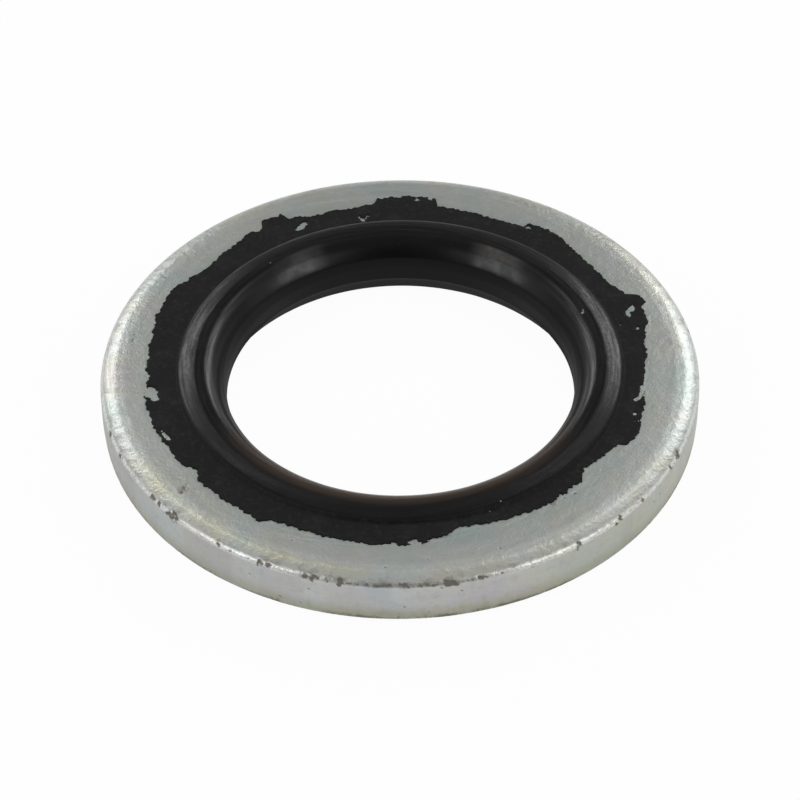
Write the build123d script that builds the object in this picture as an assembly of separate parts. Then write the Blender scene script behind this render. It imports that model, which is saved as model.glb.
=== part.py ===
"""Bonded sealing washer: a punched steel ring with a rubber seal moulded into its bore.

Millimetres, +Z up. The origin is on the washer's axis, in the plane that the washer rests on, which is the flat
crest of the seal's lower lip. The side called the front faces -Y, and angles round the washer run from the front
through +X, +Y and -X.
"""
import os
from math import cos, radians, sin

from build123d import *

# Steel ring
OUTER_DIAMETER = 22.0
STEEL_THICKNESS = 1.9
ROLL_WIDTH = 0.68            # rounded shoulder that the punch draws down round the upper rim
ROLL_DROP = 0.23
TORN_HEIGHT = 0.5            # lower stretch of the rim, where the blank tore free of the sheet
TORN_TAPER = 0.05            # how far that stretch leans in
RIM_BREAK = 0.04             # how far the rim's sharp edges are taken off

# Rubber seal: the widths are radial, and run from the bore out to the steel
SEAL_BORE = 12.8
LAND_LENGTH = 0.74           # straight stretch of the bore
LAND_EDGE_WIDTH = 0.17       # from the straight bore out to the crease
LAND_EDGE_HEIGHT = 0.12
CONE_WIDTH = 0.47            # from the crease up to the lip's crest
CREST_WIDTH = 0.1
FLANK_WIDTH = 0.38           # from the crest down to the groove
BEAD_WIDTH = 0.68            # from the groove to the steel
UPPER_LIP_RISE = 0.2         # crest of the upper lip above the steel
LOWER_LIP_RISE = 0.4         # crest of the lower lip below the steel
GROOVE_RISE = 0.06           # bottom of the groove above the steel's face
BEAD_RISE = 0.15

# Flash: the film of rubber that moulding spread over the steel's upper face. Pads of the mould held the steel down
# there, evenly spaced. The film stops short at each pad and runs further out after it, before the next one. Both
# lists give the share of the flat face's width that the film covers.
FLASH_THICKNESS = 0.05
FLASH_UNDERLAP = 0.2         # how far the film runs in under the bead
FIRST_PAD_ANGLE = 15
PAD_HALF_ANGLE = 8           # each side of a pad's middle, over which the film's edge stays level
FLASH_AT_PADS = [0.23, 0.19, 0.35, 0.42, 0.42, 0.46, 0.45, 0.51, 0.52, 0.45]
FLASH_AFTER_PADS = [0.37, 0.53, 0.77, 0.68, 0.72, 0.75, 0.66, 0.58, 0.55, 0.50]

# Radii and levels that follow
rim_radius = OUTER_DIAMETER / 2
flat_radius = rim_radius - ROLL_WIDTH
land_radius = SEAL_BORE / 2
crease_radius = land_radius + LAND_EDGE_WIDTH
crest_inner_radius = crease_radius + CONE_WIDTH
crest_outer_radius = crest_inner_radius + CREST_WIDTH
groove_radius = crest_outer_radius + FLANK_WIDTH
steel_bore_radius = groove_radius + BEAD_WIDTH
steel_bottom = LOWER_LIP_RISE
steel_middle = steel_bottom + STEEL_THICKNESS / 2
steel_top = steel_bottom + STEEL_THICKNESS


def turned(outline):
    """Turn a closed outline, drawn as radius and level, into a ring about the washer's axis."""
    return revolve(Plane.XZ * outline, axis=Axis.Z)


def steel_ring():
    """The steel ring: flat faces, a plain bore, and a rim with its punched shoulder and torn lower stretch."""
    shoulder_foot = (rim_radius, steel_top - ROLL_DROP)
    lower_edge = (rim_radius - TORN_TAPER, steel_bottom)
    shoulder = TangentArc((flat_radius, steel_top), shoulder_foot, tangent=(1, 0))
    outline = make_face(shoulder + Polyline(
        shoulder_foot,
        (rim_radius, steel_bottom + TORN_HEIGHT),
        lower_edge,
        (steel_bore_radius, steel_bottom),
        (steel_bore_radius, steel_top),
        (flat_radius, steel_top),
    ))
    sharp_edges = [outline.vertices().sort_by_distance(edge)[0] for edge in (shoulder_foot, lower_edge)]
    return turned(chamfer(sharp_edges, RIM_BREAK))


def seal_side(side, lip_rise):
    """The seal's outline on one side, from the steel in to the bore. side is 1 above the steel and -1 below it."""
    face = steel_middle + side * STEEL_THICKNESS / 2
    crest = face + side * lip_rise
    land_end = steel_middle + side * LAND_LENGTH / 2
    groove = (groove_radius, face + side * GROOVE_RISE)
    bead_top = (groove_radius + BEAD_WIDTH / 2, face + side * BEAD_RISE)
    bead = ThreePointArc((steel_bore_radius, face), bead_top, groove)
    lip = Polyline(
        groove,
        (crest_outer_radius, crest),
        (crest_inner_radius, crest),
        (crease_radius, land_end + side * LAND_EDGE_HEIGHT),
        (land_radius, land_end),
    )
    return bead + lip


def seal_body():
    """The seal without its flash: two lips, each with a bead beside it, and the land between them."""
    bond = Line((steel_bore_radius, steel_bottom), (steel_bore_radius, steel_top))
    land = Line((land_radius, steel_middle - LAND_LENGTH / 2), (land_radius, steel_middle + LAND_LENGTH / 2))
    return turned(make_face(seal_side(1, UPPER_LIP_RISE) + seal_side(-1, LOWER_LIP_RISE) + bond + land))


def flash_point(angle, share):
    """A point of the film's edge, at an angle from the front and a share of the flat face's width."""
    radius = steel_bore_radius + share * (flat_radius - steel_bore_radius)
    return (radius * sin(radians(angle)), -radius * cos(radians(angle)))


def flash_edge():
    """The film's scalloped edge: level in front of each pad, and drawn out to a tip halfway to the next one."""
    pitch = 360 / len(FLASH_AT_PADS)
    points = []
    for number, (at_pad, after_pad) in enumerate(zip(FLASH_AT_PADS, FLASH_AFTER_PADS)):
        pad_angle = FIRST_PAD_ANGLE + number * pitch
        points.append(flash_point(pad_angle - PAD_HALF_ANGLE, at_pad))
        points.append(flash_point(pad_angle + PAD_HALF_ANGLE, at_pad))
        points.append(flash_point(pad_angle + pitch / 2, after_pad))
    return Spline(*points, periodic=True)


def flash():
    """The film on the steel's upper face, which starts under the bead."""
    film = make_face(flash_edge()) - Circle(steel_bore_radius - FLASH_UNDERLAP)
    return extrude(Pos(0, 0, steel_top) * film, FLASH_THICKNESS)


def rubber_seal():
    """The seal and its flash, moulded as one piece."""
    return seal_body() + flash()


os.makedirs("parts", exist_ok=True)
for name, piece in {"metal_ring": steel_ring(), "rubber_seal": rubber_seal()}.items():
    export_step(piece, f"parts/{name}.step")
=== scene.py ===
"""Bonded sealing washer: a zinc-plated steel ring with a black rubber seal moulded into its bore.

Both pieces are drawn as half a cross-section, turned about the washer's axis, and then worn: the plating is
chipped, and the film of rubber that moulding left on the upper face has a ragged edge and bare flecks.

Lengths are metres in the frame's axes. Angles round the washer are degrees from its front, which faces -Y,
through +X, +Y and -X. Levels are heights above the plane that the washer rests on.
"""

import random
from math import atan2, cos, degrees, floor, hypot, pi, radians, sin
from typing import NamedTuple

import bmesh
import bpy
from bpy.props import FloatProperty, FloatVectorProperty, PointerProperty
from mathutils import Euler, Matrix, Vector, kdtree, noise


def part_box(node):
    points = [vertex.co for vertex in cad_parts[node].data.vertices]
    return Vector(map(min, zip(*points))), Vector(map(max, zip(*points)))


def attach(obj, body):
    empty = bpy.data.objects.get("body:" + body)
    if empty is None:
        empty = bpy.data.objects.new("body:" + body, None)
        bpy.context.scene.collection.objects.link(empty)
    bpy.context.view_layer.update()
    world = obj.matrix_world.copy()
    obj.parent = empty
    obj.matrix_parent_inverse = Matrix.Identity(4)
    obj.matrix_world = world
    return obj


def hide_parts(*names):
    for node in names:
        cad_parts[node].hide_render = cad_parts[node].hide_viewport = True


bl_info = {
    "name": "Bonded sealing washer",
    "version": (1, 0, 0),
    "blender": (4, 5, 0),
    "location": "3D View > Sidebar > Washer",
    "description": "Models a worn bonded sealing washer with its finishes, its stage and its light",
    "category": "Add Mesh",
}

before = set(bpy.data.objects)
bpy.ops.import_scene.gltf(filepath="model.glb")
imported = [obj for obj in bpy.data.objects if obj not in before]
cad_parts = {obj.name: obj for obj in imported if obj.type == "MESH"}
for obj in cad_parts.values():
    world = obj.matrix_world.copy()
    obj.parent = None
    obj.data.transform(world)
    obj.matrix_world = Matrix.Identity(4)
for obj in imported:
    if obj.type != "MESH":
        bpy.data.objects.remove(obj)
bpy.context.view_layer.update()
steel_low, steel_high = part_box("metal_ring")

MM = 0.001
STEPS_ROUND = 900             # how finely the outlines are turned
SECTORS = 12
RIM_RADIUS = steel_high[0]
STEEL_TOP = steel_high[2]
STEEL_BOTTOM = steel_low[2]
STEEL_MIDDLE = (STEEL_TOP + STEEL_BOTTOM) / 2
STEEL_BORE = 8.2 * MM         # where the rubber is bonded to the steel


# ------------------------------------------------------------------------------------------- sizes, colours


def length(name, description, millimetres):
    """A length that the sidebar shows, with its default in millimetres."""
    return FloatProperty(
        name=name, description=description, default=millimetres * MM, min=0, precision=5, unit="LENGTH"
    )


def colour(name, description, red, green, blue):
    """A colour that the sidebar shows."""
    return FloatVectorProperty(
        name=name, description=description, default=(red, green, blue), min=0, max=1, subtype="COLOR"
    )


class SteelSettings(bpy.types.PropertyGroup):
    """Sizes and colours of the steel ring."""

    roll_width: length("Shoulder width", "Rounded shoulder that the punch draws down round the rim", 0.71)
    roll_onset: length("Shoulder onset", "How far the face sinks before the shoulder turns down", 0.045)
    roll_drop: length("Shoulder drop", "How far the shoulder falls below the upper face", 0.205)
    torn_height: length("Torn height", "Lower stretch of the rim, where the blank tore free", 0.5)
    torn_taper: length("Torn taper", "How far the torn stretch leans in", 0.03)
    edge_break: length("Edge break", "How far the rim's sharp edges are rubbed off", 0.17)
    chip_depth: length("Chip depth", "How deep the chips in the plating are", 0.011)
    zinc: colour("Zinc", "Bright plating", 0.590, 0.612, 0.592)
    # The tarnish colour also paints the shadow along the rim's foot and the shade along its back edge.
    tarnish_and_shade: colour("Tarnish", "Dull metal in chips and pits", 0.14, 0.125, 0.105)
    foot: colour("Torn foot", "Dull olive of the torn lower stretch of the rim", 0.33, 0.32, 0.16)
    brown: colour("Stain", "Brown stain round the deeper chips", 0.30, 0.26, 0.20)
    # Painted highlight: the colour of the bright line along the shoulder's foot.
    painted_sheen: colour("Rubbed edge", "Bright metal where the shoulder's foot is rubbed", 0.86, 0.86, 0.84)


class SealSettings(bpy.types.PropertyGroup):
    """Sizes and colours of the rubber seal."""

    bore: length("Bore radius", "Straight land that fits round the screw", 6.412)
    land_top: length("Land top", "Upper end of the land above the steel's middle", 0.20)
    land_bottom: length("Land bottom", "Lower end of the land below the steel's middle", 0.40)
    ledge_width: length("Ledge width", "From the land out to the crease under the upper lip", 0.09)
    ledge_height: length("Ledge height", "Rise of the upper ledge from the land's end to the crease", 0.40)
    lower_ledge_width: length("Lower ledge width", "From the land out to the crease over the lower lip", 0.14)
    lower_ledge_height: length("Lower ledge height", "Drop of the lower ledge from the land's end", 0.15)
    lip_radius: length("Lip radius", "Radius at which the upper lip's top would meet its cone", 6.84)
    lip_rise: length("Lip rise", "Upper lip's top above the steel", 0.264)
    lower_lip_radius: length("Lower lip radius", "Radius at which the lower lip would meet its cone", 7.06)
    lower_lip_rise: length("Lower lip rise", "Lower lip's crest below the steel", 0.43)
    crease_radius: length("Crease radius", "Radius of the faint crease between lip and bead", 7.38)
    crease_depth: length("Crease depth", "How deep that crease is", 0.012)
    bead_radius: length("Bead radius", "Inner edge of the bead's top", 7.52)
    bead_rise: length("Bead rise", "Top of the upper bead above the steel", 0.272)
    lower_bead_rise: length("Lower bead rise", "Top of the lower bead below the steel", 0.17)
    film_thickness: length("Film thickness", "Rubber left on the steel's upper face", 0.05)
    rubber: colour("Rubber", "Body of the seal", 0.0045, 0.0045, 0.005)
    # Painted reflection: the brown sheen on the front of the upper lip.
    painted_sheen: colour("Rubbed lip", "Brown where the upper lip's crest is rubbed", 0.09, 0.062, 0.044)
    dust: colour("Dust", "Paler bloom and rubbed edges on the rubber", 0.035, 0.033, 0.031)
    # Painted highlight: pale patches on the upper lip's crest towards the back, where the lamps' reflections
    # fall.
    painted_lip_sheen: colour("Worn patches", "Grey where the far side of the upper lip is worn", 0.075, 0.071, 0.068)
    nick: colour("Nicks", "Pale nicks and specks", 0.26, 0.26, 0.25)


class StageSettings(bpy.types.PropertyGroup):
    """The floor, the light and the camera."""

    floor_colour: colour("Floor", "Pale floor", 0.95, 0.95, 0.95)
    sky: FloatProperty(
        name="Sky", description="Brightness of the room, where 1 is white", default=0.15, min=0
    )
    lens: FloatProperty(name="Lens", description="Focal length in millimetres", default=155.15, min=1)
    distance: length("Camera distance", "From the camera to the middle of the washer", 127.3)
    elevation: FloatProperty(
        name="Camera elevation", description="Above the horizon", default=radians(42.94), subtype="ANGLE"
    )
    roll: FloatProperty(
        name="Camera roll", description="Turn about the view", default=radians(-0.607), subtype="ANGLE"
    )


# ------------------------------------------------------------------------------------------- outlines


def point_at(angle, radius, level):
    """The point at an angle round the washer, a radius and a level."""
    return Vector((radius * sin(radians(angle)), -radius * cos(radians(angle)), level))


def angle_of(point):
    """The angle round the washer at which a point lies, from 0 to 360."""
    return degrees(atan2(point.x, -point.y)) % 360


SMALL_ROUNDING = 0.1 * MM     # a corner that is rounded by more than this gets more facets
MERGE_DISTANCE = 0.0005 * MM


def outline(corners):
    """A new bmesh that holds one face in the XZ plane, with corners given as (radius, level, rounding)."""
    bm = bmesh.new()
    verts = [bm.verts.new((radius, 0, level)) for radius, level, _ in corners]
    bm.faces.new(verts)
    for rounding in sorted({corner[2] for corner in corners if corner[2]}):
        rounded = [vert for vert, corner in zip(verts, corners) if corner[2] == rounding]
        facets = 6 if rounding > SMALL_ROUNDING else 3
        bmesh.ops.bevel(
            bm, geom=rounded, offset=rounding, offset_type="OFFSET", segments=facets, profile=0.5,
            affect="VERTICES", material=-1,
        )
    return bm


def divide(bm, spacing):
    """Divide each edge of an outline into parts no longer than spacing(its middle)."""
    for edge in list(bm.edges):
        middle = (edge.verts[0].co + edge.verts[1].co) / 2
        cuts = floor(edge.calc_length() / spacing(middle))
        if cuts:
            bmesh.ops.subdivide_edges(bm, edges=[edge], cuts=cuts)


def turn(bm):
    """Turn an outline about the washer's axis into a closed skin with its faces outwards.

    One sector is turned and then repeated, which is many times faster than turning the whole ring at once.
    """
    bmesh.ops.delete(bm, geom=list(bm.faces), context="FACES_ONLY")
    axis = {"cent": (0, 0, 0), "axis": (0, 0, 1)}
    sector = 2 * pi / SECTORS
    bmesh.ops.spin(
        bm, geom=list(bm.verts) + list(bm.edges), angle=sector, steps=STEPS_ROUND // SECTORS, **axis
    )
    bmesh.ops.spin(
        bm, geom=list(bm.verts) + list(bm.edges) + list(bm.faces), angle=2 * pi - sector, steps=SECTORS - 1,
        use_duplicate=True, **axis
    )
    bmesh.ops.remove_doubles(bm, verts=list(bm.verts), dist=MERGE_DISTANCE)
    bmesh.ops.recalc_face_normals(bm, faces=list(bm.faces))
    for face in bm.faces:
        face.smooth = True


def finish_piece(bm, name, node, material):
    """Make the object of a finished mesh, in place of a CAD node."""
    mesh = bpy.data.meshes.new(name)
    bm.to_mesh(mesh)
    bm.free()
    mesh.materials.append(material)
    piece = bpy.data.objects.new(name, mesh)
    bpy.context.scene.collection.objects.link(piece)
    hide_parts(node)
    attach(piece, "root")


def smooth_step(low, high, value):
    """0 below low, 1 above high, and a smooth rise between."""
    share = min(max((value - low) / (high - low), 0), 1)
    return share * share * (3 - 2 * share)


def unevenness_at(point, size):
    """Even noise from -1 to 1 whose lumps are about size across."""
    return noise.noise(point / size)


# ------------------------------------------------------------------------------------------- wear

RAGGED_LUMP = 0.16 * MM       # the two sizes of the unevenness that makes a mark's edge ragged
RAGGED_GRAIN = 0.07 * MM
MARK_CORE = 0.45              # the share of a mark, from its middle, that is worn right through
LOOK_AROUND = 1.6             # how far past its size a mark's ragged edge may reach


class Mark(NamedTuple):
    """A chip, pit or fleck: its place, how far it reaches, and how it is drawn out."""

    angle: float
    radius: float          # mm
    level: float           # mm
    size: float            # mm, from its middle to its edge
    stretch: float = 1.0   # how much longer it is along the rim than across it


def surface_tree(bm):
    """A search tree of the skin's points."""
    tree = kdtree.KDTree(len(bm.verts))
    for vert in bm.verts:
        tree.insert(vert.co, vert.index)
    tree.balance()
    return tree


def reach(mark, point, raggedness):
    """How far into a mark a point lies: 1 in its middle, 0 at its ragged edge and beyond."""
    offset = point - point_at(mark.angle, mark.radius * MM, mark.level * MM)
    along = Vector((cos(radians(mark.angle)), sin(radians(mark.angle)), 0))
    run = offset.dot(along)
    across = (offset - run * along).length
    away = hypot(run / mark.stretch, across) / (mark.size * MM)
    ragged = unevenness_at(point, RAGGED_LUMP) + 0.5 * unevenness_at(point, RAGGED_GRAIN)
    return smooth_step(1.0, MARK_CORE, away + raggedness * ragged)


def strike(bm, marks, layer, move=None, raggedness=0.8):
    """Wear the skin at each mark: set the layer there, and move its points by what move, if given, says."""
    bm.verts.ensure_lookup_table()
    bm.verts.index_update()
    tree = surface_tree(bm)
    for mark in marks:
        centre = point_at(mark.angle, mark.radius * MM, mark.level * MM)
        furthest = mark.size * MM * max(mark.stretch, 1) * LOOK_AROUND
        for _, index, _ in tree.find_range(centre, furthest):
            vert = bm.verts[index]
            strength = reach(mark, vert.co, raggedness)
            if strength > vert[layer]:
                vert[layer] = strength
                if move:
                    vert.co += move(vert.co, strength)


# ------------------------------------------------------------------------------------------- steel ring

# Chips along the edge between shoulder and rim: angle, size in mm and how long they are for their width
EDGE_CHIPS = (
    (287, 0.112, 1.5), (293, 0.125, 1.4), (306.5, 0.1, 2.0), (308.7, 0.112, 1.2), (312.4, 0.213, 1.6),
    (313.6, 0.125, 1.2), (324.0, 0.125, 1.3), (333.2, 0.15, 1.3), (334.6, 0.138, 1.3), (342.0, 0.138, 1.6),
    (344.0, 0.163, 1.2), (346.2, 0.1, 1.6), (348.9, 0.175, 1.2), (0.4, 0.1, 2.5), (8.8, 0.225, 1.3),
    (14.1, 0.125, 2.0), (34.4, 0.138, 1.4), (44.6, 0.138, 1.1), (51.2, 0.112, 1.2), (61.2, 0.125, 1.2),
    (65.0, 0.15, 1.2), (100.4, 0.075, 1.6),
)
WORN_EDGES = ((343, 363), (0, 16))    # stretches where that edge is rubbed through, from angle to angle
# Pits on the upper face: angle, radius and size in mm
FACE_PITS = (
    (309.1, 9.92, 0.13), (309.9, 10.10, 0.09), (259.2, 10.02, 0.06), (261.0, 10.00, 0.06),
    (240.0, 10.2, 0.05), (252.0, 9.8, 0.04), (336.8, 9.72, 0.045), (339.5, 9.54, 0.05), (340.6, 9.53, 0.05),
    (39.6, 9.0, 0.05), (36.0, 8.97, 0.07), (42.5, 9.10, 0.08), (76.0, 9.9, 0.04), (103.0, 10.6, 0.05),
    (224.0, 10.5, 0.04), (5.0, 9.9, 0.04), (357.0, 10.3, 0.04), (20.0, 10.0, 0.05),
)
# Brown stains: angle, radius, level and size in mm, and how long they are for their width
STAINS = (
    (309.5, 9.95, 2.3, 0.30, 1.2), (312.8, 10.93, 2.12, 0.26, 1.5), (324.0, 10.9, 2.13, 0.18, 1.2),
    (334.0, 10.95, 2.10, 0.20, 1.4), (342.5, 10.95, 2.10, 0.18, 1.6), (348.9, 10.92, 2.10, 0.20, 1.3),
    (356.0, 10.98, 2.08, 0.12, 4.0), (4.0, 10.98, 2.08, 0.12, 4.0), (8.8, 10.90, 2.12, 0.24, 1.4),
    (61.2, 10.98, 2.00, 0.18, 1.2), (65.0, 10.95, 2.10, 0.22, 1.2), (37.0, 9.0, 2.3, 0.16, 1.6),
)
# Pits on the rim: angle, level and size in mm
RIM_PITS = (
    (10.7, 1.66, 0.05), (14.6, 1.84, 0.05), (343.0, 1.55, 0.05), (355.5, 1.12, 0.04), (0.5, 1.10, 0.04),
    (43.6, 1.98, 0.08), (54.8, 1.46, 0.05), (57.0, 1.52, 0.05), (34.0, 1.90, 0.10), (308.0, 1.4, 0.04),
)
# How many small chance marks there are on the shoulder's foot, on the face and on the rim
FOOT_NICKS = 46
FACE_NICKS = 40
RIM_NICKS = 40
CHANCE_SEED = 4
BEND_SHARE = 0.46             # where the shoulder turns down, as a share of its width in from the rim
LOWER_BREAK_SHARE = 0.3       # how far the lowest edge is rubbed, as a share of the others
CORE_RADIUS = 9.9 * MM        # the middle of the ring's section, which chips go in towards


def steel_outline(steel):
    """Half the ring's cross-section: flat faces, a plain bore, a round shoulder and the rim's torn foot."""
    foot = STEEL_TOP - steel.roll_drop
    edge = steel.edge_break
    onset = RIM_RADIUS - steel.roll_width
    bend = RIM_RADIUS - BEND_SHARE * steel.roll_width
    torn_top = STEEL_BOTTOM + steel.torn_height
    torn_foot = RIM_RADIUS - steel.torn_taper
    bm = outline((
        (STEEL_BORE, STEEL_BOTTOM, 0),
        (STEEL_BORE, STEEL_TOP, 0),
        (onset, STEEL_TOP, 0.20 * MM),
        (bend, STEEL_TOP - steel.roll_onset, 0.19 * MM),
        (RIM_RADIUS, foot, edge),
        (RIM_RADIUS, torn_top, edge),
        (torn_foot, STEEL_BOTTOM, LOWER_BREAK_SHARE * edge),
    ))
    divide(bm, steel_spacing)
    return bm


def steel_spacing(place):
    """How far apart the steel outline's points may be: closest on the shoulder and the rim, for the chips."""
    if place.x > 10.2 * MM:
        return 0.07 * MM
    on_upper_face = place.z > STEEL_BOTTOM + MM
    return 0.085 * MM if on_upper_face else 0.6 * MM


def edge_marks(steel):
    """The chips along the shoulder's foot, with the stretches that are rubbed through."""
    foot = (STEEL_TOP - steel.roll_drop) / MM
    rim = RIM_RADIUS / MM
    marks = [Mark(angle, rim - 0.03, foot, size, long) for angle, size, long in EDGE_CHIPS]
    for start, end in WORN_EDGES:
        for tenth in range(start * 10, end * 10, 6):
            angle = tenth / 10
            size = 0.06 + 0.03 * unevenness_at(point_at(angle, RIM_RADIUS, 0), 0.7 * MM)
            marks.append(Mark(angle % 360, rim - 0.02, foot - 0.01, size, 1.6))
    return marks


def scattered_marks(steel):
    """Small chance marks all round: on the shoulder's foot, the face and the rim."""
    chance = random.Random(CHANCE_SEED)
    foot = (STEEL_TOP - steel.roll_drop) / MM
    rim = RIM_RADIUS / MM
    marks = []
    for _ in range(FOOT_NICKS):
        angle = chance.uniform(0, 360)
        size = chance.uniform(0.03, 0.07)
        marks.append(Mark(angle, rim - 0.03, foot, size, chance.uniform(1, 2)))
    for _ in range(FACE_NICKS):
        angle = chance.uniform(0, 360)
        radius = chance.uniform(9.4, 10.7)
        marks.append(Mark(angle, radius, STEEL_TOP / MM - 0.02, chance.uniform(0.02, 0.045)))
    for _ in range(RIM_NICKS):
        angle = chance.uniform(0, 360)
        level = chance.uniform(0.5, 2.0)
        marks.append(Mark(angle, rim, level, chance.uniform(0.02, 0.045)))
    return marks


def batter(bm):
    """Uneven plating: shallow dents all over the skin, deepest on the shoulder, and a ragged torn foot."""
    for vert in bm.verts:
        radius = hypot(vert.co.x, vert.co.y)
        if radius < STEEL_BORE + 0.1 * MM:
            continue
        on_shoulder = smooth_step(10.1 * MM, 10.6 * MM, radius)
        lumps = unevenness_at(vert.co, 1.3 * MM) + 0.8 * unevenness_at(vert.co, 0.3 * MM)
        torn = smooth_step(0.95 * MM, 0.6 * MM, vert.co.z) * on_shoulder
        grain = unevenness_at(Vector((vert.co.x, vert.co.y, vert.co.z * 0.3)), 0.12 * MM)
        depth = (0.001 + 0.0015 * on_shoulder) * MM * lumps + 0.006 * MM * torn * (grain - 1)
        vert.co += vert.normal * depth


class WASHER_OT_steel_ring(bpy.types.Operator):
    """Turn the steel ring, dent and chip it, and give it its zinc plating"""

    bl_idname = "washer.steel_ring"
    bl_label = "Steel ring"

    def execute(self, context):
        steel = context.scene.washer_steel
        bm = steel_outline(steel)
        turn(bm)
        bm.normal_update()
        batter(bm)
        wear = bm.verts.layers.float.new("wear")

        def inwards(point, strength):
            """Move a chipped point towards the ring's inside."""
            core = point_at(angle_of(point), CORE_RADIUS, STEEL_MIDDLE)
            return (core - point).normalized() * strength * steel.chip_depth

        stain = bm.verts.layers.float.new("stain")
        strike(bm, [Mark(*stained) for stained in STAINS], stain)
        marks = edge_marks(steel) + scattered_marks(steel)
        marks += [Mark(angle, radius, STEEL_TOP / MM, size) for angle, radius, size in FACE_PITS]
        marks += [Mark(angle, RIM_RADIUS / MM, level, size) for angle, level, size in RIM_PITS]
        strike(bm, marks, wear, inwards)
        finish_piece(bm, "steel_ring", "metal_ring", zinc_plating(steel))
        return {"FINISHED"}


# ------------------------------------------------------------------------------------------- rubber seal

UPPER_LIP_ROUNDING = 0.56 * MM
LOWER_LIP_ROUNDING = 0.10 * MM
BEAD_FOOT = 8.20 * MM
# The bead's outer side: how far out and down from its top each corner is, and its rounding, in mm
BEAD_FLANK = ((0.34, 0.050, 0.12), (0.54, 0.092, 0.045), (0.64, 0.142, 0.025))
FILM_ROOT = 8.32 * MM         # where the film starts, outside the bead's foot
FILM_REACH = 9.2 * MM         # the film's edge before it is cut ragged
FILM_SINK = 0.012 * MM        # how far the film reaches into the steel, so that no gap shows
FLECK_DEPTH = 0.1 * MM        # how far the film sinks at a bare fleck, to below the steel's face
OFF_CENTRE = 0.022 * MM       # the mould stood a trace to the right of the ring's middle
# The film's edge all round: (angle, radius in mm) where its outline turns
FILM_EDGE = (
    (0, 9.22), (5, 9.14), (9, 8.90), (14, 8.62), (27, 8.82), (30, 8.86), (34, 8.93), (46, 8.85), (50, 8.54),
    (54, 8.66), (57, 8.80), (61, 8.90), (62.5, 9.20), (66, 9.36), (70, 9.22), (77, 9.14), (79, 9.04),
    (83, 8.96), (97, 9.15), (101, 9.3), (104, 9.58), (109, 9.62), (110.5, 9.86), (112.5, 9.80),
    (114.5, 9.34), (120, 9.08), (131, 9.18), (136, 9.36), (140, 9.50), (147, 9.56), (149.5, 9.16),
    (156, 9.08), (170.3, 9.20), (171.3, 9.72), (178, 9.74), (184, 9.64), (186.5, 9.24), (201, 9.2),
    (206.5, 9.42), (207.6, 9.84), (212.5, 9.78), (214, 9.38), (216.5, 9.50), (222, 9.33), (233, 9.18),
    (238, 9.38), (242, 9.58), (252, 9.54), (254, 9.44), (261, 9.36), (266, 9.30), (272, 9.28), (274, 9.24),
    (279, 9.46), (290, 9.44), (294, 9.36), (300, 9.34), (305, 9.28), (316, 9.30), (326, 9.32), (328, 9.38),
    (330, 9.12), (345, 9.10), (349, 9.18), (354, 9.24), (358, 9.16),
)
# What makes that edge ragged: how far lumps of a size move it, and the size, in mm
FILM_RAGGEDNESS = ((0.06, 0.5), (0.08, 0.17), (0.07, 0.09))
# Bare flecks in the film: angle, radius and size in mm, and how long they are for their width. A few that
# touch make one larger fleck.
FLECKS = (
    (277.8, 9.22, 0.26, 1.0), (279.0, 9.14, 0.28, 1.0), (280.2, 9.06, 0.19, 1.0), (272.6, 9.22, 0.07, 1.5),
    (291.2, 9.23, 0.07, 1.2), (292.2, 9.20, 0.08, 1.2), (293.1, 9.17, 0.09, 1.2), (294.1, 9.16, 0.12, 1.2),
    (305.2, 9.24, 0.16, 1.0), (306.4, 9.20, 0.19, 1.0), (307.8, 9.26, 0.16, 1.0),
    (203.9, 8.88, 0.14, 1.0), (204.6, 8.82, 0.14, 1.0), (205.4, 8.74, 0.15, 1.2), (206.4, 8.68, 0.09, 1.2),
    (190.0, 8.59, 0.07, 1.0), (189.6, 8.48, 0.08, 1.0), (189.1, 8.40, 0.09, 1.0), (188.4, 8.50, 0.07, 1.0),
    (187.8, 8.62, 0.07, 1.0), (147.9, 9.22, 0.07, 4.0), (149.8, 9.26, 0.07, 1.6), (147.4, 9.52, 0.08, 2.4),
    (109.6, 9.26, 0.11, 1.0), (109.0, 9.16, 0.15, 1.0), (108.5, 9.02, 0.11, 1.0), (107.6, 8.99, 0.11, 1.0),
    (107.0, 8.95, 0.08, 1.0), (104.5, 8.52, 0.05, 1.2), (102.2, 9.06, 0.07, 1.0),
    (81.8, 8.94, 0.14, 1.0), (80.9, 8.93, 0.11, 1.0), (79.8, 8.95, 0.11, 1.2), (78.8, 8.92, 0.09, 1.2),
    (78.0, 8.87, 0.11, 1.0), (77.2, 8.79, 0.11, 1.0), (81.2, 9.06, 0.11, 1.0), (72.4, 8.90, 0.08, 1.0),
    (70.1, 9.03, 0.04, 1.0), (70.3, 9.12, 0.04, 1.0), (70.5, 9.21, 0.04, 1.0),
    (2.0, 9.08, 0.09, 1.2), (2.9, 9.02, 0.11, 1.2), (3.8, 9.14, 0.08, 1.6), (6.2, 9.06, 0.07, 1.8),
    (7.2, 9.00, 0.08, 1.4), (358.3, 9.14, 0.07, 2.0), (39.5, 8.86, 0.08, 1.2), (52.0, 8.66, 0.08, 1.0),
    (172.5, 9.66, 0.11, 1.2), (175.5, 9.52, 0.07, 1.8), (179.8, 9.70, 0.09, 1.4),
)
# Pale nicks and specks on the seal's body: angle, radius, level and size in mm
SPECKS = (
    (341.6, 7.10, 2.55, 0.05), (343.0, 7.2, 2.56, 0.04), (349.0, 7.12, 2.55, 0.04),
    (25.6, 8.07, 2.465, 0.06), (22.2, 8.24, 2.35, 0.035), (199.6, 6.412, 1.43, 0.05),
    (110.6, 7.30, 2.56, 0.06), (111.6, 7.36, 2.56, 0.04), (221.0, 7.40, 2.56, 0.03),
    (263.0, 7.50, 2.57, 0.04), (290.0, 7.10, 2.55, 0.04), (146.0, 7.85, 2.515, 0.03),
    (236.0, 6.9, 2.5, 0.03), (187.0, 6.9, 2.5, 0.03),
)


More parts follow.
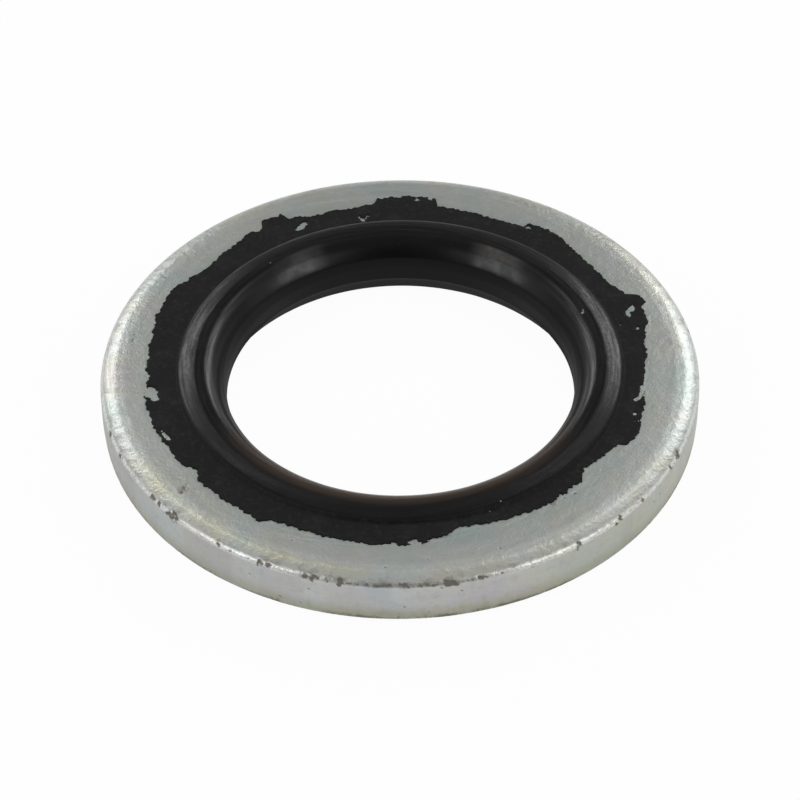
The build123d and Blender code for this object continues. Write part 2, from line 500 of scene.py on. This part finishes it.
def seal_side(seal, side, land, lip, bead_rise):
    """One side of the seal's outline, from the land out to the bead. side is 1 above the steel, -1 below.

    land is the level of its end with the ledge's width and height, and lip is its radius, rise and rounding.
    """
    face = STEEL_TOP if side > 0 else STEEL_BOTTOM
    land_end, ledge_width, ledge_height = land
    lip_radius, lip_rise, lip_rounding = lip
    crease_rise = min(lip_rise, bead_rise) - seal.crease_depth
    bead = seal.bead_radius
    return [
        (seal.bore, land_end, 0.06 * MM),
        (seal.bore + ledge_width, land_end + side * ledge_height, 0.05 * MM),
        (lip_radius, face + side * lip_rise, lip_rounding),
        (seal.crease_radius, face + side * crease_rise, 0.05 * MM),
        (bead, face + side * bead_rise, 0.09 * MM),
    ] + [
        (bead + out * MM, face + side * (bead_rise - down * MM), rounding * MM)
        for out, down, rounding in BEAD_FLANK
    ]


def seal_outline(seal):
    """Half the seal's cross-section: land, ledge, lip, groove and bead on both sides, and the film above."""
    film_top = STEEL_TOP + seal.film_thickness
    buried = STEEL_TOP - FILM_SINK
    upper_lip = (seal.lip_radius, seal.lip_rise, UPPER_LIP_ROUNDING)
    lower_lip = (seal.lower_lip_radius, seal.lower_lip_rise, LOWER_LIP_ROUNDING)
    upper_land = (STEEL_MIDDLE + seal.land_top, seal.ledge_width, seal.ledge_height)
    lower_land = (STEEL_MIDDLE - seal.land_bottom, seal.lower_ledge_width, seal.lower_ledge_height)
    upper = seal_side(seal, 1, upper_land, upper_lip, seal.bead_rise)
    lower = seal_side(seal, -1, lower_land, lower_lip, seal.lower_bead_rise)
    film = [
        (BEAD_FOOT, film_top, 0.04 * MM),
        (FILM_REACH - 0.015 * MM, film_top - 0.008 * MM, 0.012 * MM),
        (FILM_REACH, buried, 0),
        (STEEL_BORE, buried, 0),
        (STEEL_BORE, STEEL_BOTTOM, 0),
    ]
    bm = outline(upper + film + lower[::-1])
    divide(bm, seal_spacing)
    return bm


def seal_spacing(place):
    """How far apart the seal outline's points may be: closest in the film, for its flecks."""
    in_film = place.x > FILM_ROOT and place.z > STEEL_TOP
    on_bond = place.x > STEEL_BORE - 0.05 * MM and place.z < STEEL_TOP
    on_upper_side = place.z > STEEL_TOP - 0.6 * MM
    if in_film:
        return 0.05 * MM
    if on_bond:
        return 0.8 * MM
    return 0.18 * MM if on_upper_side else 0.4 * MM


def film_edge_at(angle):
    """The radius of the film's ragged edge at an angle."""
    turns = [(at, radius) for at, radius in FILM_EDGE] + [(FILM_EDGE[0][0] + 360, FILM_EDGE[0][1])]
    for (start, before), (end, after) in zip(turns, turns[1:]):
        if start <= angle <= end:
            share = smooth_step(start, end, angle)
            ragged = sum(
                depth * unevenness_at(point_at(angle, FILM_REACH, number * MM), size * MM)
                for number, (depth, size) in enumerate(FILM_RAGGEDNESS)
            )
            return (before + share * (after - before) + ragged) * MM
    raise ValueError(f"no film edge at {angle}")


def stretch_film(bm):
    """Draw the film out, or back, to its ragged edge."""
    edges = {}
    for vert in bm.verts:
        radius = hypot(vert.co.x, vert.co.y)
        if radius > FILM_ROOT:
            angle = angle_of(vert.co)
            key = round(angle, 3)
            if key not in edges:
                edges[key] = film_edge_at(angle)
            share = max(0, (radius - FILM_ROOT) / (FILM_REACH - FILM_ROOT))
            new_radius = FILM_ROOT + share * (edges[key] - FILM_ROOT)
            vert.co = point_at(angle, new_radius, vert.co.z)


def soften(bm):
    """Moulded rubber is never quite true: slight waves round the lips and beads, and lumps in the film."""
    for vert in bm.verts:
        radius = hypot(vert.co.x, vert.co.y)
        if radius > STEEL_BORE - 0.02 * MM and vert.co.z < STEEL_TOP:
            continue
        waves = unevenness_at(vert.co, 2.4 * MM) + 0.5 * unevenness_at(vert.co, 0.8 * MM) - 1
        lumps = unevenness_at(vert.co, 0.22 * MM) - 1
        film = smooth_step(FILM_ROOT - 0.05 * MM, FILM_ROOT + 0.25 * MM, radius)
        vert.co += vert.normal * (0.006 * waves * (1 - film) + 0.004 * lumps * film) * MM
        vert.co.x += OFF_CENTRE * (1 - film)


class WASHER_OT_rubber_seal(bpy.types.Operator):
    """Turn the rubber seal, draw its film out over the steel, and fleck and nick it"""

    bl_idname = "washer.rubber_seal"
    bl_label = "Rubber seal"

    def execute(self, context):
        seal = context.scene.washer_seal
        bm = seal_outline(seal)
        turn(bm)
        bm.normal_update()
        soften(bm)
        stretch_film(bm)
        bare = bm.verts.layers.float.new("bare")
        nicked = bm.verts.layers.float.new("nicked")

        def down(point, strength):
            """Sink a fleck's point below the steel's face."""
            return Vector((0, 0, -FLECK_DEPTH * strength))

        film_level = (STEEL_TOP + seal.film_thickness) / MM
        marks = [Mark(angle, radius, film_level, size, long) for angle, radius, size, long in FLECKS]
        strike(bm, marks, bare, down, raggedness=0.3)
        strike(bm, [Mark(*speck) for speck in SPECKS], nicked)
        finish_piece(bm, "rubber_seal_moulded", "rubber_seal", black_rubber(seal))
        return {"FINISHED"}


# ------------------------------------------------------------------------------------------- finishes

# A finish says where it lies by radius, the distance from the washer's axis, by level, and by the distance
# towards an angle, all in millimetres.


class Value:
    """A socket among a finish's nodes. Arithmetic on it adds Math nodes."""

    def __init__(self, recipe, socket):
        self.recipe = recipe
        self.socket = socket

    def math(self, operation, *numbers):
        """Add a Math node with these numbers or Values."""
        return self.recipe.node("ShaderNodeMath", {"operation": operation}, dict(enumerate(numbers)))

    def out(self, name):
        """Another output of the same node."""
        return Value(self.recipe, self.socket.node.outputs[name])

    def __add__(self, other):
        return self.math("ADD", self, other)

    def __radd__(self, other):
        return self.math("ADD", other, self)

    def __sub__(self, other):
        return self.math("SUBTRACT", self, other)

    def __rsub__(self, other):
        return self.math("SUBTRACT", other, self)

    def __mul__(self, other):
        return self.math("MULTIPLY", self, other)

    def __rmul__(self, other):
        return self.math("MULTIPLY", other, self)

    def __truediv__(self, other):
        return self.math("DIVIDE", self, other)

    def __rtruediv__(self, other):
        return self.math("DIVIDE", other, self)


class Recipe:
    """The nodes of one finish, of the floor or of the room."""

    def __init__(self, tree):
        self.tree = tree
        tree.nodes.clear()

    def node(self, kind, settings=None, inputs=None, output=0):
        """Add a node: its settings first, then its inputs' numbers, colours or Values."""
        made = self.tree.nodes.new(kind)
        for name, setting in (settings or {}).items():
            if name == "stops":
                set_stops(made.color_ramp.elements, setting)
            else:
                setattr(made, name, setting)
        for name, given in (inputs or {}).items():
            if isinstance(given, Value):
                self.tree.links.new(given.socket, made.inputs[name])
            else:
                made.inputs[name].default_value = given
        return Value(self, made.outputs[output]) if made.outputs else None

    def blend(self, share, first, second):
        """Mix two colours."""
        return self.node("ShaderNodeMix", {"data_type": "RGBA"}, {0: share, 6: first, 7: second}, output=2)

    def multiply(self, first, second):
        """Tint one colour with another."""
        return self.node(
            "ShaderNodeMix", {"data_type": "RGBA", "blend_type": "MULTIPLY"},
            {0: 1.0, 6: first, 7: second}, output=2,
        )

    def tinted(self, share, shade, tint):
        """A colour that takes a share of a tint, given as red, green and blue."""
        return self.blend(share, shade, self.multiply(shade, (*tint, 1)))

    def grain(self, place, size, detail=2.0, roughness=0.5):
        """Noise from 0 to 1 whose lumps are about size millimetres across."""
        return self.node(
            "ShaderNodeTexNoise", {"noise_dimensions": "3D"},
            {"Vector": place, "Scale": 1 / size, "Detail": detail, "Roughness": roughness},
        )

    def step(self, value, low, high):
        """0 where a value is below low, 1 above high, smooth between. With low above high it runs down."""
        return self.node(
            "ShaderNodeMapRange", {"interpolation_type": "SMOOTHSTEP"},
            {"Value": value, "From Min": low, "From Max": high},
        )

    def band(self, value, low, full, fading, high):
        """1 where a value is between full and fading, 0 below low and above high."""
        return self.step(value, low, full) * self.step(value, high, fading)

    def place(self):
        """Places on the piece in millimetres."""
        place = self.node("ShaderNodeTexCoord").out("Object")
        return self.node("ShaderNodeVectorMath", {"operation": "SCALE"}, {0: place, "Scale": 1 / MM})

    def stretched(self, place, across, along):
        """Places with the X and Y scaled by across and the Z by along, for a drawn-out pattern."""
        return self.node(
            "ShaderNodeVectorMath", {"operation": "MULTIPLY"}, {0: place, 1: (across, across, along)}
        )

    def attribute(self, name):
        """What a layer of the mesh says at each place."""
        return self.node("ShaderNodeAttribute", {"attribute_name": name}).out("Fac")


def set_stops(elements, stops):
    """Give a colour ramp its stops, each a position and a colour."""
    while len(elements) < len(stops):
        elements.new(1)
    for element, (position, shade) in zip(elements, stops):
        element.position = position
        element.color = (*shade, 1)


def new_material(name):
    """A material and the recipe of its nodes."""
    material = bpy.data.materials.new(name)
    material.use_nodes = True
    return material, Recipe(material.node_tree)


def radius_of(mix, place):
    """The distance of each place from the washer's axis."""
    flat = mix.node("ShaderNodeVectorMath", {"operation": "MULTIPLY"}, {0: place, 1: (1, 1, 0)})
    return mix.node("ShaderNodeVectorMath", {"operation": "LENGTH"}, {0: flat}).out("Value")


def level_of(mix, place):
    """The height of each place."""
    return mix.node("ShaderNodeSeparateXYZ", {}, {0: place}).out("Z")


def towards(mix, place, angle):
    """How far each place lies from the axis towards an angle."""
    way = tuple(point_at(angle, 1, 0))
    return mix.node("ShaderNodeVectorMath", {"operation": "DOT_PRODUCT"}, {0: place, 1: way}).out("Value")


def turned_places(mix, place, spacing, drift):
    """Places for a pattern that runs round the washer, as turning marks do, and changes slowly on its way."""
    across = mix.node("ShaderNodeCombineXYZ", {}, {
        0: radius_of(mix, place) * spacing, 1: level_of(mix, place) * spacing, 2: 0.0,
    })
    along = mix.node("ShaderNodeVectorMath", {"operation": "SCALE"}, {0: place, "Scale": drift})
    return mix.node("ShaderNodeVectorMath", {"operation": "ADD"}, {0: across, 1: along})


# Tints of the clouds in the zinc's passivation, from their thin places to their thick ones
PASSIVATION = (
    (0.34, (0.91, 0.97, 0.96)), (0.46, (1.0, 1.0, 1.0)),
    (0.58, (1.0, 0.985, 0.93)), (0.70, (0.98, 0.94, 0.965)),
)


def rim_zones(mix, radius):
    """1 on the rim's wall, and 1 on the shoulder."""
    on_rim = mix.step(radius, 10.90, 10.99)
    return on_rim, mix.step(radius, 10.25, 10.5) * (1 - on_rim)


def zinc_colour(mix, steel, place, clouds, mottle):
    """The plating before wear: clouded, duller on the flat face, straw, violet or olive in places, and darker
    on the rim's left side as painted shade.
    """
    radius = radius_of(mix, place)
    on_rim, shoulder = rim_zones(mix, radius)
    flat_face = mix.step(radius, 10.25, 10.0)
    beside_film = mix.step(radius + (mottle - 0.5) * 0.5, 9.75, 9.15)
    crest = mix.band(radius, 10.15, 10.35, 10.60, 10.80) * mix.step(towards(mix, place, 322), 8.8, 10.2)
    bands = mix.grain(mix.stretched(place, 1, 0.15), 1.3, detail=2)
    off_front = mix.step(towards(mix, place, 0), 10.5, 9.0)
    # Painted shade: the rim's wall is darker on its left side.
    left = mix.step(towards(mix, place, 270), 8.2, 10.6)
    front_right = mix.step(towards(mix, place, 52), 8.6, 10.6)

    clouded = mix.node("ShaderNodeValToRGB", {"stops": PASSIVATION}, {"Fac": clouds})
    zinc = mix.multiply((*steel.zinc, 1), clouded)
    for share, tint in (
        (flat_face, (0.93, 0.93, 0.93)),
        (beside_film * 0.6, (0.80, 0.88, 0.87)),
        (shoulder * mix.step(clouds, 0.40, 0.65) * 0.5, (1.0, 0.97, 0.88)),
        (crest * 0.8, (1.0, 0.985, 0.86)),
        (on_rim, (1.0, 0.985, 1.03)),
        (on_rim * mix.step(bands, 0.45, 0.62) * 0.7, (0.90, 0.885, 0.90)),
        (on_rim * off_front, (0.91, 0.915, 0.89)),
        (on_rim * left, (0.82, 0.82, 0.81)),
        (on_rim * front_right, (0.98, 0.985, 0.90)),
    ):
        zinc = mix.tinted(share, zinc, tint)
    return zinc


def zinc_plating(steel):
    """Bright zinc with a faint passivation tint, grainy all over, dull brown where it is chipped, with a
    painted highlight along the shoulder's foot and painted shade along the rim's foot and back edge.
    """
    material, mix = new_material("zinc_plating")
    place = mix.place()
    radius = radius_of(mix, place)
    level = level_of(mix, place)
    tarnish_and_shade = (*steel.tarnish_and_shade, 1)
    dull = tuple((bright + dark) / 2 for bright, dark in zip(steel.zinc, steel.tarnish_and_shade))

    clouds = mix.grain(place, 1.9, detail=3)
    mottle = mix.grain(place, 0.34, detail=3, roughness=0.55)
    grit = mix.grain(place, 0.10, detail=3, roughness=0.6)
    streaks = mix.grain(mix.stretched(place, 1, 0.12), 0.12, detail=2)
    turned = turned_places(mix, place, spacing=6.0, drift=0.5)
    scuffs = mix.step(mix.grain(turned, 1.0, detail=4, roughness=0.7), 0.50, 0.72)

    on_rim, shoulder = rim_zones(mix, radius)
    outer_shoulder = mix.step(radius, 10.60, 10.80) * (1 - on_rim)
    off_front = mix.step(towards(mix, place, 0), 10.85, 9.9)
    # Painted highlight: a bright, broken line along the shoulder's foot, away from the front.
    painted_edge_highlight = mix.step(radius, 10.86, 10.95) * mix.step(level, 1.96, 2.05) * off_front
    # Painted shade: a dark line along the rim's edge at the back, where the edge turns away from view.
    painted_back_edge_shade = mix.step(radius, 10.93, 10.99) * mix.step(level, 1.9, 2.1)
    painted_back_edge_shade = painted_back_edge_shade * mix.step(towards(mix, place, 180), 2.0, 6.0)
    torn = on_rim * mix.step(level + (mottle - 0.5) * 0.9, 1.25, 0.45)
    olive = mix.step(towards(mix, place, 3), 9.2, 10.9)
    # Painted shadow: a dark, patchy band along the rim's lowest edge, where it meets the floor.
    painted_foot_shadow = on_rim * mix.step(level + (mottle - 0.5) * 0.3, 0.64, 0.46)
    painted_foot_shadow = painted_foot_shadow * mix.step(clouds + (grit - 0.5) * 0.5, 0.38, 0.6)
    stained = mix.step(mix.attribute("stain") + (mottle - 0.5) * 1.2, 0.25, 0.9)
    chipped = mix.step(mix.attribute("wear") + (grit - 0.5) * 1.3, 0.15, 0.85)

    smudged = mix.step(mottle, 0.45, 0.75) * 0.24 + outer_shoulder * mix.step(mottle, 0.50, 0.62) * 0.4
    smudged = smudged + mix.step(grit, 0.45, 0.75) * (0.16 + outer_shoulder * 0.12)
    smudged = smudged * (1 - painted_edge_highlight * 0.8) + scuffs * 0.12
    shade = zinc_colour(mix, steel, place, clouds, mottle)
    for share, over in (
        (smudged, (*dull, 1)),
        (torn * (0.25 + olive * 0.25 + streaks * 0.3), (*steel.foot, 1)),
        (painted_foot_shadow * 0.95, tarnish_and_shade),
        (painted_back_edge_shade * 0.5, tarnish_and_shade),
        (stained * 0.55, (*steel.brown, 1)),
        (painted_edge_highlight * mix.step(grit, 0.62, 0.45) * 0.75, (*steel.painted_sheen, 1)),
        (chipped * (0.62 + grit * 0.6), tarnish_and_shade),
    ):
        shade = mix.blend(share, shade, over)

    roughness = 0.25 + mottle * 0.10 + scuffs * 0.08 + chipped * 0.3 + torn * 0.1 - painted_edge_highlight * 0.10
    height = mottle * (1.0 + shoulder * 0.8) + grit * (0.6 + outer_shoulder * 0.9)
    height = height + on_rim * streaks * 0.5 - chipped * 0.3
    bump = mix.node("ShaderNodeBump", {}, {"Strength": 0.6, "Distance": 0.02 * MM, "Height": height})
    metal = mix.node("ShaderNodeBsdfPrincipled", {}, {
        "Base Color": shade, "Metallic": 0.65 - chipped * 0.5, "Roughness": roughness, "Normal": bump,
    })
    mix.node("ShaderNodeOutputMaterial", {}, {"Surface": metal})
    return material


# Where the bead and the film begin and are full, by radius, and the back half, by the distance towards
# the back
BEAD_START = (7.25, 7.50)
FILM_START = (8.08, 8.16)
BACK_START = (2.8, 4.8)
# Where the stretch right at the back begins and is full, by the share of the radius that points backward
STRAIGHT_BACK = (0.88, 0.93)


def rubber_gloss(mix, place, streaks, leather, bloom):
    """Where the rubber is polished: streaks on the bead and the lip's top, and patches on the cone."""
    radius = radius_of(mix, place)
    level = level_of(mix, place)
    frontward = towards(mix, place, 0)
    backward = towards(mix, place, 180)
    back = mix.step(backward, *BACK_START)
    facing_back = backward / radius
    off_straight_back = 1 - mix.step(facing_back, *STRAIGHT_BACK)

    bead = mix.step(radius, *BEAD_START) * (1 - mix.step(radius, *FILM_START))
    streaky = mix.step(streaks, 0.3, 0.7) * (0.5 + mix.step(leather, 0.42, 0.58) * 0.3)
    on_bead = bead * (0.05 + streaky) * (1 - mix.step(frontward, -0.5, 4.0) * 0.8)
    cone = mix.step(radius, 7.15, 6.95) * mix.step(level, 1.90, 1.98) * back * off_straight_back
    patches = mix.step(facing_back, 0.66, 0.80) * off_straight_back
    on_cone = cone * (0.28 + patches * (0.14 + mix.step(bloom, 0.42, 0.58) * 0.42))
    lip_top = mix.band(radius, 6.80, 6.95, 7.35, 7.50) * mix.step(level, 2.2, 2.35)
    on_lip = lip_top * (1 - back) * (0.15 + mix.step(streaks, 0.35, 0.6) * 0.38)
    return on_bead + on_cone + on_lip


def rubber_colour(mix, seal, place, streaks, leather, bloom, film):
    """Black with a grey bloom on the film, a painted brown reflection on the front of the lip, and painted
    grey highlight patches on its crest towards the back.
    """
    radius = radius_of(mix, place)
    level = level_of(mix, place)
    frontward = towards(mix, place, 0)
    facing_back = towards(mix, place, 180) / radius

    specks = mix.step(mix.grain(place, 0.10, detail=1), 0.74, 0.80)
    bloomed = mix.step(leather, 0.50, 0.72) * 0.34 + mix.step(bloom, 0.48, 0.66) * 0.12
    dusty = mix.step(bloom, 0.45, 0.80) * 0.07 + specks * 0.3 + film * bloomed
    # Painted reflection: streaky brown on the front of the upper lip, seen at a grazing angle.
    painted_sheen = mix.step(radius, 7.70, 6.90) * mix.step(level, 2.20, 2.38) * mix.step(frontward, 2.5, 6.0)
    crest = mix.step(radius, 7.36, 7.20) * mix.step(level, 2.28, 2.45)
    # Painted highlight: pale patches on the lip's crest either side of the back, stronger on the right.
    painted_lip_sheen = crest * mix.band(facing_back, 0.72, 0.83, *STRAIGHT_BACK)
    painted_lip_sheen = painted_lip_sheen * (0.45 + mix.step(towards(mix, place, 90), -2.0, 2.0) * 0.55)
    nicked = mix.step(mix.attribute("nicked") + (leather - 0.5) * 0.4, 0.3, 0.6)
    shade = (*seal.rubber, 1)
    for share, over in (
        (dusty, seal.dust),
        (painted_sheen * (0.2 + streaks * 0.95), seal.painted_sheen),
        (painted_lip_sheen * (0.6 + mix.step(bloom, 0.42, 0.58) * 0.4), seal.painted_lip_sheen),
        (nicked, seal.nick),
    ):
        shade = mix.blend(share, shade, (*over, 1))
    return shade


def black_rubber(seal):
    """Satin black rubber: fine streaks round the lips, a leathery film, and pale rubbed specks."""
    material, mix = new_material("black_rubber")
    place = mix.place()
    radius = radius_of(mix, place)
    level = level_of(mix, place)
    turned = turned_places(mix, place, spacing=9.0, drift=0.6)
    streaks = mix.grain(turned, 1.0, detail=3, roughness=0.6)
    leather = mix.grain(place, 0.16, detail=4, roughness=0.6)
    bloom = mix.grain(place, 1.1, detail=4, roughness=0.6)
    film = mix.step(radius, *FILM_START)
    off_back = 1 - mix.step(towards(mix, place, 180), *BACK_START)

    roughness = 0.25 + streaks * 0.08 + film * 0.22 + bloom * 0.06
    roughness = roughness + mix.step(level, 2.3, 1.9) * off_back * 0.25 + mix.step(level, 1.3, 0.8) * 0.3
    bead = mix.step(radius, *BEAD_START) * (1 - film)
    height = bead * (streaks + leather * 0.5) + film * leather * 1.2 + leather * 0.25
    bump = mix.node("ShaderNodeBump", {}, {"Strength": 0.5, "Distance": 0.012 * MM, "Height": height})
    rubber = mix.node("ShaderNodeBsdfPrincipled", {}, {
        "Base Color": rubber_colour(mix, seal, place, streaks, leather, bloom, film), "Roughness": roughness,
        "Coat Weight": rubber_gloss(mix, place, streaks, leather, bloom), "Coat Roughness": 0.19,
        "Specular IOR Level": 0.16, "Normal": bump,
    })
    mix.node("ShaderNodeOutputMaterial", {}, {"Surface": rubber})
    return material


# ------------------------------------------------------------------------------------------- stage


class Lamp(NamedTuple):
    """A soft light: the way to it from the washer in degrees, its size in metres, and its brightness."""

    name: str
    azimuth: float         # from the front towards the left
    elevation: float
    width: float
    height: float
    brightness: float      # 1 is white


LAMP_DISTANCE = 0.4
FLOOR_HALF_WIDTH = 4
FRAME_SHIFT = (0.0001, -0.0189)   # how far off the frame's middle the washer stands, as a share of its width
LAMPS = (
    Lamp("front_left", 58, 34, 0.26, 0.28, 1.28),
    Lamp("front_right", -58, 34, 0.26, 0.28, 1.25),
    Lamp("back_left", 151, 34, 0.16, 0.13, 2.9),
    Lamp("back_right", -151, 34, 0.16, 0.13, 3.3),
    Lamp("top_left", 155, 55, 0.08, 0.06, 2.2),
    Lamp("top_right", -155, 55, 0.08, 0.06, 2.2),
)


def hang_lamp(lamp):
    """Hang a soft light that faces the washer."""
    light = bpy.data.lights.new(lamp.name, "AREA")
    light.shape = "RECTANGLE"
    light.size = lamp.width
    light.size_y = lamp.height
    light.energy = lamp.brightness * pi * lamp.width * lamp.height
    obj = bpy.data.objects.new(lamp.name, light)
    bpy.context.scene.collection.objects.link(obj)
    level = LAMP_DISTANCE * sin(radians(lamp.elevation))
    away = LAMP_DISTANCE * cos(radians(lamp.elevation))
    obj.location = point_at(-lamp.azimuth, away, level)
    obj.rotation_euler = (-Vector(obj.location)).to_track_quat("-Z", "Y").to_euler()
    obj.visible_camera = False


def light_room(stage):
    """A plain room: pale along the horizon, dim towards the front, and white where the camera sees it.

    A way into the room is a unit vector, and its level is the sine of its height above the horizon.
    """
    world = bpy.data.worlds.new("room")
    world.use_nodes = True
    bpy.context.scene.world = world
    mix = Recipe(world.node_tree)
    way = mix.node("ShaderNodeSeparateXYZ", {}, {0: mix.node("ShaderNodeTexCoord").out("Generated")})
    sideways = way.math("ABSOLUTE", way.out("X"))
    frontward = 0.0 - way.out("Y")
    level = way.out("Z")
    sides = mix.step(sideways, 0.25, 0.55) * mix.step(level, 0.94, 0.68)
    gap = mix.step(sideways, 0.35, 0.15) * mix.step(frontward, -0.40, -0.65) * mix.step(level, 0.76, 0.66)
    horizon = mix.step(level, 0.40, -0.05) * mix.step(frontward, 0.3, -0.5)
    dark_side = mix.step(frontward, 0.50, 0.80)
    overhead = mix.step(level, 0.74, 0.92)
    sky = stage.sky * (1.0 - dark_side * 0.5 - gap * 0.6) + sides * 0.48 + horizon * 0.75 + overhead * 0.24
    seen = mix.node("ShaderNodeLightPath").out("Is Camera Ray")
    strength = sky + seen * (1 - sky)
    background = mix.node("ShaderNodeBackground", {}, {"Color": (1, 1, 1, 1), "Strength": strength})
    mix.node("ShaderNodeOutputWorld", {}, {"Surface": background})


def lay_floor(stage):
    """A wide pale floor that keeps the washer's shadow, and looks white to the camera and in the metal."""
    bm = bmesh.new()
    bmesh.ops.create_grid(bm, x_segments=1, y_segments=1, size=FLOOR_HALF_WIDTH)
    mesh = bpy.data.meshes.new("floor")
    bm.to_mesh(mesh)
    bm.free()
    obj = bpy.data.objects.new("floor", mesh)
    bpy.context.scene.collection.objects.link(obj)
    material, mix = new_material("pale_floor")
    path = mix.node("ShaderNodeLightPath")
    lift = path.out("Is Camera Ray") * 0.96 + path.out("Is Glossy Ray") * 0.35
    lift = lift + path.out("Is Transmission Ray") * 0.25
    matt = mix.node("ShaderNodeBsdfDiffuse", {}, {"Color": (*stage.floor_colour, 1)})
    white = mix.node("ShaderNodeEmission", {}, {"Color": (1, 1, 1, 1), "Strength": 1.0})
    surface = mix.node("ShaderNodeMixShader", {}, {0: lift, 1: matt, 2: white})
    mix.node("ShaderNodeOutputMaterial", {}, {"Surface": surface})
    mesh.materials.append(material)


def set_camera(stage):
    """The camera, which looks at the middle of the steel ring."""
    camera = bpy.data.cameras.new("camera")
    camera.lens = stage.lens
    camera.sensor_width = 36
    camera.clip_start = 0.005
    camera.clip_end = 20
    camera.shift_x, camera.shift_y = FRAME_SHIFT
    obj = bpy.data.objects.new("camera", camera)
    bpy.context.scene.collection.objects.link(obj)
    away = stage.distance * cos(stage.elevation)
    obj.location = (0, -away, STEEL_MIDDLE + stage.distance * sin(stage.elevation))
    tilt = Euler((pi / 2 - stage.elevation, 0, 0)).to_matrix() @ Matrix.Rotation(stage.roll, 3, "Z")
    obj.rotation_euler = tilt.to_euler()
    bpy.context.scene.camera = obj


class WASHER_OT_stage(bpy.types.Operator):
    """Lay the floor, light the room and set the camera"""

    bl_idname = "washer.stage"
    bl_label = "Stage"

    def execute(self, context):
        stage = context.scene.washer_stage
        context.scene.view_settings.view_transform = "Standard"
        lay_floor(stage)
        light_room(stage)
        for lamp in LAMPS:
            hang_lamp(lamp)
        set_camera(stage)
        return {"FINISHED"}


# ------------------------------------------------------------------------------------------- sidebar


class WASHER_PT_sidebar(bpy.types.Panel):
    """Buttons that make the washer, with its sizes and colours"""

    bl_label = "Bonded washer"
    bl_space_type = "VIEW_3D"
    bl_region_type = "UI"
    bl_category = "Washer"

    def draw(self, context):
        scene = context.scene
        for button, settings in (
            ("washer.steel_ring", scene.washer_steel),
            ("washer.rubber_seal", scene.washer_seal),
            ("washer.stage", scene.washer_stage),
        ):
            self.layout.operator(button)
            for name in settings.__annotations__:
                self.layout.prop(settings, name)


CLASSES = (
    SteelSettings, SealSettings, StageSettings,
    WASHER_OT_steel_ring, WASHER_OT_rubber_seal, WASHER_OT_stage, WASHER_PT_sidebar,
)


def register():
    """Add the classes, and their settings to the scene."""
    for each in CLASSES:
        bpy.utils.register_class(each)
    bpy.types.Scene.washer_steel = PointerProperty(type=SteelSettings)
    bpy.types.Scene.washer_seal = PointerProperty(type=SealSettings)
    bpy.types.Scene.washer_stage = PointerProperty(type=StageSettings)


def unregister():
    """Take the settings and the classes away again."""
    del bpy.types.Scene.washer_stage
    del bpy.types.Scene.washer_seal
    del bpy.types.Scene.washer_steel
    for each in reversed(CLASSES):
        bpy.utils.unregister_class(each)


def main():
    """Make the stage and both pieces."""
    register()
    bpy.ops.washer.stage()
    bpy.ops.washer.steel_ring()
    bpy.ops.washer.rubber_seal()


if __name__ == "__main__":
    main()
